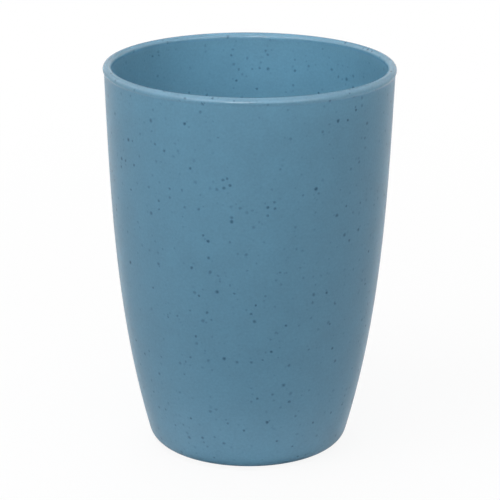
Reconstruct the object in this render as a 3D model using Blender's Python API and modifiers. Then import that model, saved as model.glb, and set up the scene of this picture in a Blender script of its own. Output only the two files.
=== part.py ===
"""A tall tumbler for a washstand: one moulding, with a thin curved wall, a round bead at the mouth and a foot ring.

Metres, +Z up. The origin is the middle of the circle on which the foot ring stands.
"""
import math

import bmesh
import bpy
from mathutils import Vector

MM = 0.001

# The overall size
HEIGHT = 115.0 * MM
RIM_DIAMETER = 85.0 * MM

# The wall, whose outside leans out strongly at the foot and hardly at all under the bead
WALL = 2.2 * MM
BASE_DIAMETER = 59.2 * MM
FOOT_LEAN = math.radians(15.4)
MOUTH_LEAN = math.radians(2.3)
LOWER_CURVE_SHARE = 0.34
UPPER_CURVE_SHARE = 0.32

# The bead stands out from the wall's outside and is flush with its inside
BEAD_OVERHANG = 0.3 * MM
BEAD_FILLET = 0.6 * MM

# The floor and the rounded corners around it
FLOOR = 2.4 * MM
OUTER_CORNER = 5.5 * MM
INNER_CORNER = 4.0 * MM

# The underside, with the mark of the moulding gate in a dimple at its middle
FOOT_RING_WIDTH = 3.0 * MM
RECESS_DEPTH = 0.8 * MM
DIMPLE_DIAMETER = 9.0 * MM
DIMPLE_DEPTH = 0.5 * MM
GATE_DIAMETER = 2.4 * MM
GATE_HEIGHT = 0.3 * MM

# How finely the round shapes are divided
TURN_STEPS = 72
WALL_STEPS = 11
BEAD_STEPS = 12
FILLET_STEPS = 2
CORNER_STEPS = 5
EDGE_STEPS = 2
CORNER_SEARCH_STEPS = 40
MERGE_DISTANCE = 0.01 * MM

# The colour of the plastic, as a linear colour
PLASTIC_COLOUR = (0.117, 0.262, 0.366, 1.0)
PLASTIC_ROUGHNESS = 0.38

BEAD_RADIUS = (WALL + BEAD_OVERHANG) / 2
FLOOR_TOP = RECESS_DEPTH + FLOOR
QUARTER_TURN = math.pi / 2


def along(angle):
    """A unit vector in the profile's plane, where the first number is the distance from the axis."""
    return Vector((math.cos(angle), math.sin(angle)))


def arc(centre, radius, start, end, steps):
    """Points on an arc, with both its ends."""
    return [centre + radius * along(start + (end - start) * i / steps) for i in range(steps + 1)]


class Bead:
    """The round bead and the fillet under it, with the point where the fillet runs into the wall."""

    def __init__(self):
        self.centre = Vector((RIM_DIAMETER / 2 - BEAD_RADIUS, HEIGHT - BEAD_RADIUS))
        outward = along(-MOUTH_LEAN)
        upward = along(QUARTER_TURN - MOUTH_LEAN)
        face = WALL - BEAD_RADIUS
        sideways = face + BEAD_FILLET
        drop = math.sqrt((BEAD_RADIUS + BEAD_FILLET) ** 2 - sideways**2)
        self.fillet_centre = self.centre + outward * sideways - upward * drop
        self.fillet_angle = -MOUTH_LEAN - math.atan2(drop, sideways)
        self.wall_top = self.centre + outward * face - upward * drop

    def points(self):
        """From the inside of the mouth over the top and down into the fillet."""
        inside = math.pi - MOUTH_LEAN
        fillet_start = self.fillet_angle + math.pi
        over = arc(self.centre, BEAD_RADIUS, inside, self.fillet_angle, BEAD_STEPS)
        under = arc(self.fillet_centre, BEAD_FILLET, fillet_start, inside, FILLET_STEPS)
        return over + under[1:-1]


class Wall:
    """The outside of the wall as one smooth curve, from the bottom corner to the bead's fillet."""

    def __init__(self, top):
        self.corner_centre = Vector((BASE_DIAMETER / 2 - OUTER_CORNER * math.cos(FOOT_LEAN), OUTER_CORNER))
        bottom = self.corner_centre + OUTER_CORNER * along(-FOOT_LEAN)
        rise = top.y - bottom.y
        lower = bottom + rise * LOWER_CURVE_SHARE * Vector((math.tan(FOOT_LEAN), 1))
        upper = top - rise * UPPER_CURVE_SHARE * Vector((math.tan(MOUTH_LEAN), 1))
        self.controls = (bottom, lower, upper, top)

    def point(self, t):
        """The point at t, from 0 at the bottom to 1 at the top."""
        a, b, c, d = self.controls
        s = 1 - t
        return s**3 * a + 3 * s**2 * t * b + 3 * s * t**2 * c + t**3 * d

    def lean(self, t):
        """The angle from upright at t."""
        a, b, c, d = self.controls
        s = 1 - t
        run = s**2 * (b - a) + 2 * s * t * (c - b) + t**2 * (d - c)
        return math.atan2(run.x, run.y)

    def inside(self, t, depth):
        """The point that lies a depth inside the wall's outside at t."""
        return self.point(t) - depth * along(-self.lean(t))

    def inner_corner_at(self):
        """Where a fillet of the inner corner's radius touches both the wall's inside and the floor."""
        low, high = 0.0, 1.0
        for _ in range(CORNER_SEARCH_STEPS):
            middle = (low + high) / 2
            if self.inside(middle, WALL + INNER_CORNER).y < FLOOR_TOP + INNER_CORNER:
                low = middle
            else:
                high = middle
        return high


def edge(radius, start, end):
    """A rounded edge at a radius, between two heights, for a profile that runs towards the axis."""
    half = (end - start) / 2
    reach = abs(half)
    outer = [Vector((radius + reach * (1 - p.x), start + half * (1 - p.y)))
             for p in arc(Vector((0, 0)), 1, QUARTER_TURN, 0, EDGE_STEPS)]
    inner = [Vector((radius - reach * (1 - p.x), end - half * (1 - p.y)))
             for p in arc(Vector((0, 0)), 1, 0, QUARTER_TURN, EDGE_STEPS)]
    return outer + inner[1:]


def underside(ring_radius):
    """From the foot ring's standing face in to the axis."""
    recess = RECESS_DEPTH
    dimple = recess + DIMPLE_DEPTH
    points = edge(ring_radius - FOOT_RING_WIDTH, 0, recess)
    points += edge(DIMPLE_DIAMETER / 2, recess, dimple)
    points += edge(GATE_DIAMETER / 2, dimple, dimple - GATE_HEIGHT)
    points.append(Vector((0, dimple - GATE_HEIGHT)))
    return points


def profile():
    """The half section, from the axis on the floor, up the inside, over the bead and down to the axis again."""
    bead = Bead()
    wall = Wall(bead.wall_top)
    corner_at = wall.inner_corner_at()
    corner_centre = wall.inside(corner_at, WALL + INNER_CORNER)
    rises = [i / WALL_STEPS for i in range(WALL_STEPS + 1)]

    points = [Vector((0, FLOOR_TOP))]
    points += arc(corner_centre, INNER_CORNER, -QUARTER_TURN, -wall.lean(corner_at), CORNER_STEPS)
    points += [wall.inside(corner_at + (1 - corner_at) * rise, WALL) for rise in rises[1:]]
    points += bead.points()
    points += [wall.point(1 - rise) for rise in rises]
    points += arc(wall.corner_centre, OUTER_CORNER, -FOOT_LEAN, -QUARTER_TURN, CORNER_STEPS)[1:]
    points += underside(wall.corner_centre.x)
    return points


def plastic():
    material = bpy.data.materials.new("speckled_plastic")
    material.use_nodes = True
    shader = material.node_tree.nodes["Principled BSDF"]
    shader.inputs["Base Color"].default_value = PLASTIC_COLOUR
    shader.inputs["Roughness"].default_value = PLASTIC_ROUGHNESS
    shader.inputs["Metallic"].default_value = 0
    return material


def tumbler(collection):
    """The half section turned about the axis into one closed solid."""
    section = bmesh.new()
    vertices = [section.verts.new((point.x, 0, point.y)) for point in profile()]
    for start, end in zip(vertices, vertices[1:]):
        section.edges.new((start, end))
    mesh = bpy.data.meshes.new("tumbler")
    section.to_mesh(mesh)
    section.free()
    mesh.materials.append(plastic())

    piece = bpy.data.objects.new("tumbler", mesh)
    collection.objects.link(piece)
    turn = piece.modifiers.new("Turn", "SCREW")
    turn.axis = "Z"
    turn.angle = 2 * math.pi
    turn.screw_offset = 0
    turn.steps = TURN_STEPS
    turn.render_steps = TURN_STEPS
    turn.use_merge_vertices = True
    turn.merge_threshold = MERGE_DISTANCE
    turn.use_smooth_shade = True
    return piece


def main():
    for item in list(bpy.data.objects):
        bpy.data.objects.remove(item)
    collection = bpy.data.collections.new("tall_tumbler")
    bpy.context.scene.collection.children.link(collection)
    tumbler(collection)


main()
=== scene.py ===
"""A speckled plastic tumbler on a white floor in soft studio light.

Laid out as an add-on and run as a script. Metres, +Z up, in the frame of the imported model: the
tumbler stands on the floor at the origin.
"""
import math

import bmesh
import bpy
from bpy.props import FloatProperty, FloatVectorProperty, IntProperty, PointerProperty
from bpy.types import Operator, Panel, PropertyGroup
from mathutils import Matrix, Vector


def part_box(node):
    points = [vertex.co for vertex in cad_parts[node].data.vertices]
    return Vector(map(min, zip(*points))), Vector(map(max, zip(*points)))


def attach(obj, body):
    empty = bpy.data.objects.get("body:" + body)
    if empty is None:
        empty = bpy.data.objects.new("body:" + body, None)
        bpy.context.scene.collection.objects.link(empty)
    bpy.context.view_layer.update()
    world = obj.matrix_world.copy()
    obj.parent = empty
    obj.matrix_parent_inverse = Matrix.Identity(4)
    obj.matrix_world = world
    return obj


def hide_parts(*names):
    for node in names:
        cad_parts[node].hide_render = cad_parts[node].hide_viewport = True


bl_info = {
    "name": "Washstand Tumbler",
    "version": (1, 0, 0),
    "blender": (4, 5, 0),
    "location": "3D View > Sidebar > Tumbler",
    "description": "Builds a speckled plastic tumbler and the soft studio light around it",
    "category": "Add Mesh",
}

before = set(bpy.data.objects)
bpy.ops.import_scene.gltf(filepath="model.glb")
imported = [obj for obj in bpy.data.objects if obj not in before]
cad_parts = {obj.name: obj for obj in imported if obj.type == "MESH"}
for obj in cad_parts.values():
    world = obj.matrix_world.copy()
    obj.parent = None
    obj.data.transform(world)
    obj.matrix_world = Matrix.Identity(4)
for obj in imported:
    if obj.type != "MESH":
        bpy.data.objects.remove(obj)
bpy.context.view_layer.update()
CAD_LOW, CAD_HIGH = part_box("tumbler")

MM = 0.001
QUARTER_TURN = math.pi / 2
FULL_TURN = 2 * math.pi

MERGE_DISTANCE = 0.001 * MM
CORNER_SEARCH_STEPS = 40


class TumblerShape(PropertyGroup):
    """The sizes of the moulding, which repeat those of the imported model."""

    height: FloatProperty(
        name="Height", description="From the foot ring to the top of the bead",
        default=CAD_HIGH.z - CAD_LOW.z, unit="LENGTH")
    rim_diameter: FloatProperty(
        name="Rim diameter", description="Across the outside of the bead",
        default=CAD_HIGH.x - CAD_LOW.x, unit="LENGTH")
    wall: FloatProperty(
        name="Wall", description="Thickness of the wall",
        default=2.2 * MM, unit="LENGTH")
    base_diameter: FloatProperty(
        name="Base diameter",
        description="Across the outside, where the bottom corner runs into the wall",
        default=59.2 * MM, unit="LENGTH")
    foot_lean: FloatProperty(
        name="Lean at the foot",
        description="How far the wall leans out where it leaves the bottom corner",
        default=math.radians(15.4), unit="ROTATION")
    mouth_lean: FloatProperty(
        name="Lean at the mouth", description="How far the wall still leans out under the bead",
        default=math.radians(2.3), unit="ROTATION")
    lower_curve: FloatProperty(
        name="Lower curve",
        description="How far up the wall its lower lean holds, as a share of the wall",
        default=0.34, subtype="FACTOR")
    upper_curve: FloatProperty(
        name="Upper curve",
        description="How far down the wall its upper lean holds, as a share of the wall",
        default=0.32, subtype="FACTOR")
    bead_overhang: FloatProperty(
        name="Bead overhang", description="How far the bead stands out from the wall",
        default=0.3 * MM, unit="LENGTH")
    bead_fillet: FloatProperty(
        name="Bead fillet", description="Radius of the hollow under the bead",
        default=0.6 * MM, unit="LENGTH")
    floor: FloatProperty(
        name="Floor", description="Thickness of the floor",
        default=2.4 * MM, unit="LENGTH")
    outer_corner: FloatProperty(
        name="Outer corner", description="Radius of the bottom corner outside",
        default=5.5 * MM, unit="LENGTH")
    inner_corner: FloatProperty(
        name="Inner corner", description="Radius of the corner around the floor inside",
        default=4.0 * MM, unit="LENGTH")
    foot_ring_width: FloatProperty(
        name="Foot ring width", description="Width of the flat ring that it stands on",
        default=3.0 * MM, unit="LENGTH")
    recess_depth: FloatProperty(
        name="Recess depth", description="How far the underside is set in from the foot ring",
        default=0.8 * MM, unit="LENGTH")
    dimple_diameter: FloatProperty(
        name="Dimple diameter", description="Across the dimple in the middle of the underside",
        default=9.0 * MM, unit="LENGTH")
    dimple_depth: FloatProperty(
        name="Dimple depth", description="How far the dimple is set in from the underside",
        default=0.5 * MM, unit="LENGTH")
    gate_diameter: FloatProperty(
        name="Gate diameter",
        description="Across the mark that the moulding gate left in the dimple",
        default=2.4 * MM, unit="LENGTH")
    gate_height: FloatProperty(
        name="Gate height", description="How far the gate's mark stands out of the dimple",
        default=0.3 * MM, unit="LENGTH")
    turn_steps: IntProperty(
        name="Steps around", description="Faces around the tumbler",
        default=288)
    wall_steps: IntProperty(
        name="Steps up the wall", description="Faces from the bottom corner to the bead",
        default=72)
    round_steps: IntProperty(
        name="Steps in a quarter", description="Faces in each quarter turn of a rounded edge",
        default=8)


class TumblerPlastic(PropertyGroup):
    """The colours and sizes of the speckled plastic."""

    body_colour: FloatVectorProperty(
        name="Plastic", description="Colour of the plastic between the specks",
        default=(0.100, 0.237, 0.338), size=3, subtype="COLOR")
    speck_colour: FloatVectorProperty(
        name="Specks", description="Colour of the specks",
        default=(0.004, 0.056, 0.112), size=3, subtype="COLOR")
    roughness: FloatProperty(
        name="Roughness", description="Roughness of the plain surface",
        default=0.54, subtype="FACTOR")
    reflectance: FloatProperty(
        name="Reflectance", description="Strength of the surface's own reflection",
        default=0.40, subtype="FACTOR")
    translucency: FloatProperty(
        name="Translucency", description="Share of the light that spreads inside the plastic",
        default=0.6, subtype="FACTOR")
    light_reach: FloatProperty(
        name="Reach of light", description="How far the light spreads inside the plastic",
        default=14.0 * MM, unit="LENGTH")
    skin: FloatProperty(
        name="Skin",
        description="Share of the smooth skin that the mould leaves, which shows at a flat angle",
        default=0.42, subtype="FACTOR")
    skin_roughness: FloatProperty(
        name="Skin roughness", description="Roughness of the smooth skin",
        default=0.12, subtype="FACTOR")
    skin_ior: FloatProperty(
        name="Skin index", description="How strongly the smooth skin bends the light",
        default=1.2)
    # The polish heights also set where the bead is painted paler, which is painted light
    polish_from: FloatProperty(
        name="Polish from",
        description="Height from which the surface grows glossier, up to the bead",
        default=113.0 * MM, unit="LENGTH")
    polish_to: FloatProperty(
        name="Polish to", description="Height from which the bead is fully glossy",
        default=113.8 * MM, unit="LENGTH")
    polish_roughness: FloatProperty(
        name="Polish roughness", description="Roughness of the bead",
        default=0.24, subtype="FACTOR")
    polish_reflectance: FloatProperty(
        name="Polish reflectance", description="Strength of the bead's own reflection",
        default=1.0, subtype="FACTOR")


class TumblerStage(PropertyGroup):
    """The floor, the lamps and the camera."""

    floor_radius: FloatProperty(
        name="Floor radius", description="Radius of the round floor",
        default=4.0, unit="LENGTH")
    shadow_share: FloatProperty(
        name="Shadow",
        description="How much of the floor's own light and shade shows on its white",
        default=0.09, subtype="FACTOR")
    shadow_reach: FloatProperty(
        name="Shadow reach",
        description="Where the floor has become plain white, from the tumbler's middle",
        default=0.45, unit="LENGTH")
    ambient: FloatProperty(
        name="Ambient", description="Brightness of the light from all around",
        default=0.01)
    backdrop: FloatProperty(
        name="Backdrop", description="Brightness of the light from low behind the tumbler",
        default=5.9)
    floor_behind: FloatProperty(
        name="Floor behind", description="Brightness of the lit floor behind the tumbler",
        default=1.0)
    foot_glow: FloatProperty(
        name="Foot glow", description="Brightness of the lit ring of floor around the foot",
        default=0.4)
    sheen: FloatProperty(
        name="Sheen", description="Brightness of the room and the floor in reflections",
        default=1.0)
    key_level: FloatProperty(
        name="Key lamp",
        description="Light on a face turned to the lamp on the left, where 1 is full",
        default=0.36)
    top_level: FloatProperty(
        name="Top lamp",
        description="Light on a face turned to the lamp overhead, where 1 is full",
        default=0.79)
    right_level: FloatProperty(
        name="Right lamp",
        description="Light on a face turned to the low lamp on the right, where 1 is full",
        default=0.045)
    back_level: FloatProperty(
        name="Back lamp",
        description="Light on a face turned to the lamp behind, where 1 is full",
        default=0.33)
    front_level: FloatProperty(
        name="Front lamp",
        description="Light on a face turned to the small lamp in front, where 1 is full",
        default=0.11)
    camera_distance: FloatProperty(
        name="Camera distance", description="From the camera to the point it looks at",
        default=739.584 * MM, unit="LENGTH")
    camera_elevation: FloatProperty(
        name="Camera elevation", description="Angle at which the camera looks down",
        default=math.radians(17.506), unit="ROTATION")
    camera_roll: FloatProperty(
        name="Camera roll",
        description="Angle by which the camera is turned about its own line of sight",
        default=math.radians(0.31), unit="ROTATION")
    camera_aim: FloatVectorProperty(
        name="Camera aim", description="The point the camera looks at",
        default=(0.353 * MM, 0.0, 58.476 * MM), size=3, subtype="XYZ")
    camera_lens: FloatProperty(
        name="Lens", description="Focal length in millimetres",
        default=180.0)


class Wire:
    """A node's output, on which an arithmetic expression adds its Math nodes."""

    def __init__(self, nodes, socket):
        self.nodes = nodes
        self.socket = socket

    def out(self, name):
        """Another output of the same node."""
        return Wire(self.nodes, self.socket.node.outputs[name])

    def math(self, operation, *values):
        """A Math node on these values, each a number or a wire."""
        return self.nodes.add("ShaderNodeMath", {"operation": operation}, dict(enumerate(values)))

    def __add__(self, other):
        return self.math("ADD", self, other)

    def __radd__(self, other):
        return self.math("ADD", other, self)

    def __rsub__(self, other):
        return self.math("SUBTRACT", other, self)

    def __mul__(self, other):
        return self.math("MULTIPLY", self, other)

    def __rmul__(self, other):
        return self.math("MULTIPLY", other, self)

    def __truediv__(self, other):
        return self.math("DIVIDE", self, other)

    def __pow__(self, other):
        return self.math("POWER", self, other)

    def __gt__(self, other):
        return self.math("GREATER_THAN", self, other)

    def __or__(self, other):
        """The larger of the two."""
        return self.math("MAXIMUM", self, other)

    def __abs__(self):
        return self.math("ABSOLUTE", self)


class Nodes:
    """The node tree of a material or of the world, emptied and ready to be filled."""

    def __init__(self, owner):
        owner.use_nodes = True
        self.tree = owner.node_tree
        self.tree.nodes.clear()

    def add(self, kind, settings=None, inputs=None, output=0):
        """Makes a node: its settings first, then a value or a link for each of its sockets."""
        node = self.tree.nodes.new(kind)
        for name, value in (settings or {}).items():
            setattr(node, name, value)
        for name, value in (inputs or {}).items():
            if isinstance(value, Wire):
                self.tree.links.new(value.socket, node.inputs[name])
            else:
                node.inputs[name].default_value = value
        return Wire(self, node.outputs[output]) if len(node.outputs) else None

    def mix(self, share, first, second):
        """A blend of two colours."""
        return self.add(
            "ShaderNodeMix", {"data_type": "RGBA"}, {0: share, 6: first, 7: second}, output=2)

    def ramp(self, value, start, end):
        """0 where the value is at start, 1 at end, and a smooth slope between them."""
        return self.add(
            "ShaderNodeMapRange", {"interpolation_type": "SMOOTHSTEP"},
            {"Value": value, "From Min": start, "From Max": end})

    def noise(self, place, scale, detail, output="Fac"):
        """Cloudy noise from 0 to 1, with the number of its waves in a metre as its scale."""
        return self.add(
            "ShaderNodeTexNoise", {}, {"Vector": place, "Scale": scale, "Detail": detail},
            output=output)


def rgba(colour):
    return (*colour, 1.0)


# The noises in the plastic, each with its scale and its detail
CLOUD = (130.0, 3.0)
GRAIN = (1500.0, 2.0)
RIPPLE = (1400.0, 1.0)

# How far the ripple moves the edges of the specks
RIPPLE_REACH = 0.4 * MM

# The deep and the pale colour as shares of the plastic's own, and how far the clouds, the grain
# and the painted light on the bead move it from the deep to the pale one: the bead is painted
# paler than the plastic's own colour, as painted light
DEEP_SHARE, PALE_SHARE = 0.76, 1.24
CLOUD_SHARE, GRAIN_SHARE, BEAD_PAINTED_LIGHT_SHARE = 0.4, 0.6, 0.34

# How much the clouds change the roughness, from its lowest to its highest
ROUGHNESS_SPREAD = 0.10

# The height of the surface's grain, and how much of it the clouds and the fine grain make
BUMP_STRENGTH = 0.25
BUMP_HEIGHT = 0.03 * MM
CLOUD_BUMP_SHARE, GRAIN_BUMP_SHARE = 0.6, 0.4

# The specks: the size of the cells that they lie in, their smallest and largest radius, the share
# of the cells that hold one, and how dark the palest and the darkest are
DARK_SPECKS = {
    "spacing": 2.1 * MM, "smallest": 0.6 * MM, "largest": 0.95 * MM, "share": 0.33,
    "palest": 0.3, "darkest": 1.0}
FAINT_SPECKS = {
    "spacing": 1.9 * MM, "smallest": 0.5 * MM, "largest": 0.75 * MM, "share": 0.4,
    "palest": 0.08, "darkest": 0.35}

# The higher this power is, the rarer are the large specks
SIZE_POWER = 2.0


def specks(nodes, place, spacing, smallest, largest, share, palest, darkest):
    """How dark each point is made by round specks that are scattered through the plastic."""
    cells = nodes.add(
        "ShaderNodeTexVoronoi", {"voronoi_dimensions": "3D", "feature": "F1"},
        {"Vector": place, "Scale": 1 / spacing}, output="Distance")
    chances = nodes.add(
        "ShaderNodeSeparateColor", {}, {"Color": cells.out("Color")}, output="Red")
    radius = (smallest + (largest - smallest) * chances ** SIZE_POWER) / spacing
    inside = nodes.ramp(cells, radius, 0.0)
    present = chances.out("Green") > 1 - share
    return inside * present * (palest + (darkest - palest) * chances.out("Blue"))


def speckled_plastic(look):
    """Grey-blue plastic with dark specks, uneven in colour, satin up to its glossy bead that is painted
    paler as painted light.
    """
    material = bpy.data.materials.new("speckled_plastic")
    nodes = Nodes(material)
    place = nodes.add("ShaderNodeTexCoord", output="Object")
    height = nodes.add("ShaderNodeSeparateXYZ", {}, {0: place}, output="Z")
    # The bead's polish: it makes the bead glossy and also paints it paler, which is painted light
    polish_and_painted_light = nodes.ramp(height, look.polish_from, look.polish_to)

    cloud, grain = nodes.noise(place, *CLOUD), nodes.noise(place, *GRAIN)
    deep, pale = (
        rgba(channel * share for channel in look.body_colour) for share in (DEEP_SHARE, PALE_SHARE))
    # The bead's share paints the bead paler, which is painted light
    body = nodes.mix(CLOUD_SHARE * cloud + GRAIN_SHARE * grain + BEAD_PAINTED_LIGHT_SHARE * polish_and_painted_light, deep, pale)

    shift = nodes.add(
        "ShaderNodeVectorMath", {"operation": "MULTIPLY_ADD"},
        {0: nodes.noise(place, *RIPPLE, output="Color"), 1: (RIPPLE_REACH,) * 3, 2: place})
    darkness = specks(nodes, shift, **DARK_SPECKS) | specks(nodes, shift, **FAINT_SPECKS)
    colour = nodes.mix(darkness, body, rgba(look.speck_colour))

    bumps = nodes.add(
        "ShaderNodeBump", {},
        {"Strength": BUMP_STRENGTH, "Distance": BUMP_HEIGHT,
         "Height": cloud * CLOUD_BUMP_SHARE + grain * GRAIN_BUMP_SHARE},
        output="Normal")
    satin, glossy = (
        nodes.add(
            "ShaderNodeBsdfPrincipled", {"subsurface_method": "BURLEY"},
            {"Base Color": colour,
             "Roughness": roughness - ROUGHNESS_SPREAD / 2 + ROUGHNESS_SPREAD * cloud,
             "Specular IOR Level": reflectance,
             "Subsurface Weight": look.translucency,
             "Subsurface Radius": (1.0, 1.0, 1.0),
             "Subsurface Scale": look.light_reach,
             "Coat Weight": skin,
             "Coat Roughness": look.skin_roughness,
             "Coat IOR": look.skin_ior,
             "Normal": bumps})
        for roughness, reflectance, skin in (
            (look.roughness, look.reflectance, look.skin),
            (look.polish_roughness, look.polish_reflectance, 0.0)))
    shader = nodes.add("ShaderNodeMixShader", {}, {0: polish_and_painted_light, 1: satin, 2: glossy})
    nodes.add("ShaderNodeOutputMaterial", {}, {"Surface": shader})
    return material


def along(angle):
    """A unit vector in the section's plane, where the first number is the distance from the axis."""
    return Vector((math.cos(angle), math.sin(angle)))


class Section:
    """The half section of a turned piece, drawn vertex by vertex."""

    def __init__(self, start):
        self.mesh = bmesh.new()
        self.tip = self.mesh.verts.new((start.x, 0, start.y))

    def line(self, points):
        """Draws on through these points."""
        for point in points:
            self.tip = bmesh.ops.extrude_vert_indiv(self.mesh, verts=[self.tip])["verts"][0]
            self.tip.co = (point.x, 0, point.y)

    def arc(self, centre, angle, steps):
        """Draws on in an arc about the centre, anticlockwise where the angle is positive."""
        end = bmesh.ops.spin(
            self.mesh, geom=[self.tip], cent=(centre.x, 0, centre.y), axis=(0, -1, 0),
            angle=angle, steps=steps)["geom_last"]
        self.tip = next(item for item in end if isinstance(item, bmesh.types.BMVert))

    def rounded_step(self, radius, end, steps):
        """Draws a step at a radius to the height end, towards the axis, with both its edges rounded."""
        half = (end - self.tip.co.z) / 2
        reach = abs(half)
        turn = math.copysign(QUARTER_TURN, half)
        middle = self.tip.co.z + half
        self.line([Vector((radius + reach, self.tip.co.z))])
        self.arc(Vector((radius + reach, middle)), -turn, steps)
        self.arc(Vector((radius - reach, middle)), turn, steps)

    def turned(self, steps):
        """Turns the section about the axis into a closed mesh."""
        mesh = self.mesh
        bmesh.ops.spin(
            mesh, geom=mesh.verts[:] + mesh.edges[:], cent=(0, 0, 0), axis=(0, 0, 1),
            angle=FULL_TURN, steps=steps, use_merge=True)
        bmesh.ops.remove_doubles(mesh, verts=mesh.verts, dist=MERGE_DISTANCE)
        bmesh.ops.recalc_face_normals(mesh, faces=mesh.faces)
        return mesh


class Wall:
    """The outside of the wall as one smooth curve, with the bead on top and the corner below."""

    def __init__(self, shape):
        self.shape = shape
        self.bead_radius = (shape.wall + shape.bead_overhang) / 2
        self.bead_centre = Vector((
            shape.rim_diameter / 2 - self.bead_radius, shape.height - self.bead_radius))
        outward = along(-shape.mouth_lean)
        upward = along(QUARTER_TURN - shape.mouth_lean)
        face = shape.wall - self.bead_radius
        sideways = face + shape.bead_fillet
        drop = math.sqrt((self.bead_radius + shape.bead_fillet) ** 2 - sideways**2)
        self.fillet_centre = self.bead_centre + outward * sideways - upward * drop
        self.fillet_angle = -shape.mouth_lean - math.atan2(drop, sideways)
        top = self.bead_centre + outward * face - upward * drop

        self.corner_centre = Vector((
            shape.base_diameter / 2 - shape.outer_corner * math.cos(shape.foot_lean),
            shape.outer_corner))
        bottom = self.corner_centre + shape.outer_corner * along(-shape.foot_lean)
        rise = top.y - bottom.y
        lower = bottom + rise * shape.lower_curve * Vector((math.tan(shape.foot_lean), 1))
        upper = top - rise * shape.upper_curve * Vector((math.tan(shape.mouth_lean), 1))
        self.controls = (bottom, lower, upper, top)

    def point(self, t):
        """The point at t, from 0 at the bottom to 1 at the top."""
        a, b, c, d = self.controls
        s = 1 - t
        return s**3 * a + 3 * s**2 * t * b + 3 * s * t**2 * c + t**3 * d

    def lean(self, t):
        """The angle from upright at t."""
        a, b, c, d = self.controls
        s = 1 - t
        run = s**2 * (b - a) + 2 * s * t * (c - b) + t**2 * (d - c)
        return math.atan2(run.x, run.y)

    def inside(self, t, depth):
        """The point that lies a depth inside the wall's outside at t."""
        return self.point(t) - depth * along(-self.lean(t))

    def inner_corner_at(self):
        """Where a fillet of the inner corner's radius touches the wall's inside and the floor."""
        radius = self.shape.inner_corner
        floor_top = self.shape.recess_depth + self.shape.floor
        low, high = 0.0, 1.0
        for _ in range(CORNER_SEARCH_STEPS):
            middle = (low + high) / 2
            if self.inside(middle, self.shape.wall + radius).y < floor_top + radius:
                low = middle
            else:
                high = middle
        return high


def tumbler_section(shape):
    """From the axis on the floor, up the inside, over the bead and down to the axis again."""
    wall = Wall(shape)
    floor_top = shape.recess_depth + shape.floor
    corner_at = wall.inner_corner_at()
    corner_centre = wall.inside(corner_at, shape.wall + shape.inner_corner)
    rises = [step / shape.wall_steps for step in range(shape.wall_steps + 1)]

    section = Section(Vector((0, floor_top)))
    section.line([Vector((corner_centre.x, floor_top))])
    section.arc(corner_centre, QUARTER_TURN - wall.lean(corner_at), shape.round_steps)
    section.line([
        wall.inside(corner_at + (1 - corner_at) * rise, shape.wall) for rise in rises[1:]])
    bead_start = math.pi - shape.mouth_lean
    section.line([wall.bead_centre + wall.bead_radius * along(bead_start)])
    section.arc(wall.bead_centre, wall.fillet_angle - bead_start, 3 * shape.round_steps)
    section.arc(
        wall.fillet_centre, bead_start - wall.fillet_angle - math.pi, shape.round_steps // 2)
    section.line([wall.point(1 - rise) for rise in rises[1:]])
    section.arc(wall.corner_centre, shape.foot_lean - QUARTER_TURN, 2 * shape.round_steps)
    recess_radius = wall.corner_centre.x - shape.foot_ring_width
    dimple = shape.recess_depth + shape.dimple_depth
    gate = dimple - shape.gate_height
    section.rounded_step(recess_radius, shape.recess_depth, shape.round_steps)
    section.rounded_step(shape.dimple_diameter / 2, dimple, shape.round_steps)
    section.rounded_step(shape.gate_diameter / 2, gate, shape.round_steps)
    section.line([Vector((0, gate))])
    return section


class WASHSTAND_OT_add_tumbler(Operator):
    """Model the tumbler in one piece and give it its speckled plastic"""

    bl_idname = "washstand.add_tumbler"
    bl_label = "Tumbler"
    bl_options = {"REGISTER", "UNDO"}

    def execute(self, context):
        shape = context.scene.tumbler_shape
        turned = tumbler_section(shape).turned(shape.turn_steps)
        mesh = bpy.data.meshes.new("tumbler_body")
        turned.to_mesh(mesh)
        turned.free()
        mesh.shade_smooth()
        mesh.materials.append(speckled_plastic(context.scene.tumbler_plastic))
        body = bpy.data.objects.new("tumbler_body", mesh)
        context.scene.collection.objects.link(body)
        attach(body, "root")
        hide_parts("tumbler")
        return {"FINISHED"}


WHITE = (1.0, 1.0, 1.0, 1.0)
MATT_WHITE = (0.9, 0.9, 0.9, 1.0)

# A slope is written as the value where it is 0 and the value where it is 1. Across runs from -1 on
# the left to 1 on the right, depth from -1 in front to 1 behind, and rise from -1 below to 1 above.

# Slopes of the floor's distance from the tumbler's middle
CONTACT_REACH = (22 * MM, 31 * MM)
RING_INSIDE = (28 * MM, 36 * MM)
RING_OUTSIDE = (65 * MM, 42 * MM)
LIT_REACH = (0.5, 0.25)
FAR_REACH = (0.6, 1.2)
SHADOW_START_SHARE = 0.15

# Slopes of the way in which a place on the floor lies from the tumbler's middle
LIT_BEHIND = (0.0, 0.6)
RING_FRONT = (-0.3, -0.95)
FLOOR_FRONT = (-0.25, -0.75)
FLOOR_SIDE = (0.4, 1.0)
FLOOR_BACK = (0.4, 0.95)

# How bright the back of the ring around the foot is, where 1 is its front
RING_BACK_SHARE = 0.1

# How bright reflections show the floor
FLOOR_FRONT_LEVEL, FLOOR_SIDE_LEVEL, FLOOR_BACK_LEVEL = 0.2, 0.7, 0.85
RING_LEVEL = 0.9
FAR_LEVEL = 0.8

# The slope of depth that marks the far floor and the back wall, straight behind the tumbler
STRAIGHT_BEHIND = (0.8, 0.93)


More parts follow.
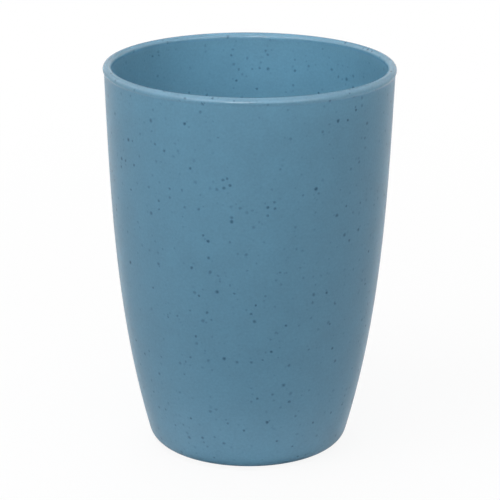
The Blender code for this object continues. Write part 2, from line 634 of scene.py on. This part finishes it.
def white_floor(stage):
    """White to the camera, with a share of its own light and shade near the tumbler.

    Other rays meet a matt floor that glows behind the tumbler and in a ring around its foot, and
    reflections show a floor with a brightness of its own for each side.
    """
    material = bpy.data.materials.new("white_floor")
    nodes = Nodes(material)
    place = nodes.add("ShaderNodeTexCoord", output="Object")
    distance = nodes.add("ShaderNodeVectorMath", {"operation": "LENGTH"}, {0: place}, output="Value")
    across = nodes.add("ShaderNodeSeparateXYZ", {}, {0: place}, output="X")
    side, depth = abs(across) / distance, across.out("Y") / distance
    camera = nodes.add("ShaderNodeLightPath", output="Is Camera Ray")
    mirrored = camera.out("Is Glossy Ray")

    behind = nodes.ramp(depth, *LIT_BEHIND) * nodes.ramp(distance, *LIT_REACH)
    ring = nodes.ramp(distance, *RING_INSIDE) * nodes.ramp(distance, *RING_OUTSIDE) * (
        RING_BACK_SHARE + (1 - RING_BACK_SHARE) * nodes.ramp(depth, *RING_FRONT))
    glow = (1 - camera) * (stage.floor_behind * behind + stage.foot_glow * ring)
    matt = nodes.add("ShaderNodeBsdfDiffuse", {}, {"Color": MATT_WHITE})
    glowing = nodes.add("ShaderNodeEmission", {}, {"Color": glow})
    lit = nodes.add("ShaderNodeAddShader", {}, {0: matt, 1: glowing})

    around = (
        FLOOR_FRONT_LEVEL * nodes.ramp(depth, *FLOOR_FRONT)
        + FLOOR_SIDE_LEVEL * nodes.ramp(side, *FLOOR_SIDE)
        + FLOOR_BACK_LEVEL * nodes.ramp(depth, *FLOOR_BACK)
        + RING_LEVEL * ring)
    far = nodes.ramp(distance, *FAR_REACH)
    reflected = nodes.ramp(distance, *CONTACT_REACH) * (
        (1 - far) * around + far * FAR_LEVEL * nodes.ramp(depth, *STRAIGHT_BEHIND))
    plain_white = nodes.add(
        "ShaderNodeEmission", {}, {"Color": camera + mirrored * stage.sheen * reflected})

    plain = nodes.ramp(distance, SHADOW_START_SHARE * stage.shadow_reach, stage.shadow_reach)
    share = camera * (1 - stage.shadow_share * (1 - plain)) + mirrored
    surface = nodes.add("ShaderNodeMixShader", {}, {0: share, 1: lit, 2: plain_white})
    nodes.add("ShaderNodeOutputMaterial", {}, {"Surface": surface})
    return material


# Slopes of the room's rise, its depth and the way across it
BACKDROP_RISE = (0.17, 0.11)
LOW_RISE = (0.35, 0.2)
ABOVE_LOW = (0.2, 0.35)
BELOW_HIGH = (0.8, 0.65)
HIGH_RISE = (0.65, 0.8)
BACK_WALL_RISE = (0.55, 0.3)
UPPER_BACK_RISE = (0.35, 0.5)
BACKDROP_DEPTH = (0.5, 0.9)
UPPER_BACK_DEPTH = (0.35, 0.65)
LOW_FRONT = (-0.5, -0.9)
MIDDLE_FRONT = (-0.25, -0.75)
LEFT_WALL = (-0.25, -0.75)
RIGHT_WALL = (0.25, 0.75)

# How bright reflections show the room
LOW_FRONT_LEVEL, LOW_LEFT_LEVEL, LOW_RIGHT_LEVEL = 2.1, 0.8, 0.9
MIDDLE_FRONT_LEVEL, MIDDLE_LEFT_LEVEL, MIDDLE_RIGHT_LEVEL = 1.36, 1.6, 1.15
HIGH_LEVEL = 0.95
BACK_LEVEL, BACK_WALL_LEVEL, UPPER_BACK_LEVEL = 0.17, 0.6, 0.4


def white_world(stage):
    """White to the camera, and for the tumbler's own light a bright backdrop low behind it.

    Reflections show a room with a brightness of its own for each side and height.
    """
    world = bpy.data.worlds.new("white_room")
    nodes = Nodes(world)
    way = nodes.add("ShaderNodeTexCoord", output="Generated")
    across = nodes.add("ShaderNodeSeparateXYZ", {}, {0: way}, output="X")
    depth, rise = across.out("Y"), across.out("Z")
    camera = nodes.add("ShaderNodeLightPath", output="Is Camera Ray")
    mirrored = camera.out("Is Glossy Ray")

    low, high = nodes.ramp(rise, *LOW_RISE), nodes.ramp(rise, *HIGH_RISE)
    middle = nodes.ramp(rise, *ABOVE_LOW) * nodes.ramp(rise, *BELOW_HIGH)
    left, right = nodes.ramp(across, *LEFT_WALL), nodes.ramp(across, *RIGHT_WALL)
    reflected = (
        low * (
            LOW_FRONT_LEVEL * nodes.ramp(depth, *LOW_FRONT)
            + LOW_LEFT_LEVEL * left + LOW_RIGHT_LEVEL * right)
        + middle * (
            MIDDLE_FRONT_LEVEL * nodes.ramp(depth, *MIDDLE_FRONT)
            + MIDDLE_LEFT_LEVEL * left + MIDDLE_RIGHT_LEVEL * right)
        + HIGH_LEVEL * high
        + nodes.ramp(depth, *STRAIGHT_BEHIND) * (
            BACK_LEVEL + BACK_WALL_LEVEL * nodes.ramp(rise, *BACK_WALL_RISE))
        + UPPER_BACK_LEVEL
        * nodes.ramp(depth, *UPPER_BACK_DEPTH) * nodes.ramp(rise, *UPPER_BACK_RISE))

    backdrop = nodes.ramp(depth, *BACKDROP_DEPTH) * nodes.ramp(rise, *BACKDROP_RISE)
    light = nodes.add(
        "ShaderNodeBackground", {},
        {"Color": mirrored * stage.sheen * reflected
         + (1 - mirrored) * (stage.ambient + stage.backdrop * backdrop)})
    white = nodes.add("ShaderNodeBackground", {}, {"Color": WHITE})
    surface = nodes.add("ShaderNodeMixShader", {}, {0: camera, 1: light, 2: white})
    nodes.add("ShaderNodeOutputWorld", {}, {"Surface": surface})
    return world


# Each lamp's azimuth and elevation in degrees, and its width and height in metres. Azimuth 0 is
# towards the viewer, and 90 degrees is to the right.
LAMPS = {
    "key": (-45, 52, 0.9, 0.9),
    "top": (-20, 75, 1.3, 1.3),
    "right": (85, 25, 0.5, 1.1),
    "back": (180, 35, 1.2, 0.6),
    "front": (-8, 12, 0.35, 0.25),
}
LAMP_DISTANCE = 1.2

# The one lamp that reflections show
MIRRORED_LAMP = "front"


def soft_lamp(context, name, level):
    """A rectangular lamp turned to the tumbler's middle. Its level is its light on a face there."""
    azimuth, elevation, width, height = LAMPS[name]
    lamp = bpy.data.lights.new(name + "_lamp", "AREA")
    lamp.shape = "RECTANGLE"
    lamp.size = width
    lamp.size_y = height
    lamp.energy = level * (math.pi * LAMP_DISTANCE) ** 2

    holder = bpy.data.objects.new(name + "_lamp", lamp)
    holder.matrix_world = (
        Matrix.Translation((CAD_LOW + CAD_HIGH) / 2)
        @ Matrix.Rotation(math.radians(azimuth), 4, "Z")
        @ Matrix.Rotation(QUARTER_TURN - math.radians(elevation), 4, "X")
        @ Matrix.Translation((0, 0, LAMP_DISTANCE)))
    holder.visible_camera = False
    holder.visible_glossy = name == MIRRORED_LAMP
    context.scene.collection.objects.link(holder)


# Millimetres, as the lens is
SENSOR_WIDTH = 36.0


def place_camera(scene, stage):
    """The camera at the photograph's angle."""
    lens = bpy.data.cameras.new("camera")
    lens.lens = stage.camera_lens
    lens.sensor_fit = "HORIZONTAL"
    lens.sensor_width = SENSOR_WIDTH
    camera = bpy.data.objects.new("camera", lens)
    back = Vector((0, -math.cos(stage.camera_elevation), math.sin(stage.camera_elevation)))
    camera.matrix_world = (
        Matrix.Translation(Vector(stage.camera_aim) + stage.camera_distance * back)
        @ Matrix.Rotation(QUARTER_TURN - stage.camera_elevation, 4, "X")
        @ Matrix.Rotation(stage.camera_roll, 4, "Z"))
    scene.collection.objects.link(camera)
    scene.camera = camera


FLOOR_SEGMENTS = 96


class WASHSTAND_OT_add_stage(Operator):
    """Add the white floor, the soft lamps, the white room and the camera"""

    bl_idname = "washstand.add_stage"
    bl_label = "Floor, lamps and camera"
    bl_options = {"REGISTER", "UNDO"}

    def execute(self, context):
        scene = context.scene
        stage = scene.tumbler_stage

        disc = bmesh.new()
        bmesh.ops.create_circle(
            disc, cap_ends=True, segments=FLOOR_SEGMENTS, radius=stage.floor_radius)
        mesh = bpy.data.meshes.new("floor")
        disc.to_mesh(mesh)
        disc.free()
        mesh.materials.append(white_floor(stage))
        floor = bpy.data.objects.new("floor", mesh)
        scene.collection.objects.link(floor)

        for name in LAMPS:
            soft_lamp(context, name, getattr(stage, name + "_level"))
        scene.world = white_world(stage)
        scene.view_settings.view_transform = "Standard"
        place_camera(scene, stage)
        return {"FINISHED"}


class WASHSTAND_PT_tumbler(Panel):
    """The tumbler's pieces and the sizes and colours that they are made from"""

    bl_idname = "WASHSTAND_PT_tumbler"
    bl_label = "Washstand Tumbler"
    bl_space_type = "VIEW_3D"
    bl_region_type = "UI"
    bl_category = "Tumbler"

    def draw(self, context):
        scene = context.scene
        for operator, settings in (
                (WASHSTAND_OT_add_tumbler, (scene.tumbler_shape, scene.tumbler_plastic)),
                (WASHSTAND_OT_add_stage, (scene.tumbler_stage,))):
            box = self.layout.box()
            box.operator(operator.bl_idname, text=operator.bl_label)
            for group in settings:
                for name in group.__annotations__:
                    box.prop(group, name)


CLASSES = (
    TumblerShape, TumblerPlastic, TumblerStage,
    WASHSTAND_OT_add_tumbler, WASHSTAND_OT_add_stage, WASHSTAND_PT_tumbler,
)


def register():
    for item in CLASSES:
        bpy.utils.register_class(item)
    bpy.types.Scene.tumbler_shape = PointerProperty(type=TumblerShape)
    bpy.types.Scene.tumbler_plastic = PointerProperty(type=TumblerPlastic)
    bpy.types.Scene.tumbler_stage = PointerProperty(type=TumblerStage)


def unregister():
    del bpy.types.Scene.tumbler_stage
    del bpy.types.Scene.tumbler_plastic
    del bpy.types.Scene.tumbler_shape
    for item in reversed(CLASSES):
        bpy.utils.unregister_class(item)


def main():
    register()
    bpy.ops.washstand.add_tumbler()
    bpy.ops.washstand.add_stage()


if __name__ == "__main__":
    main()
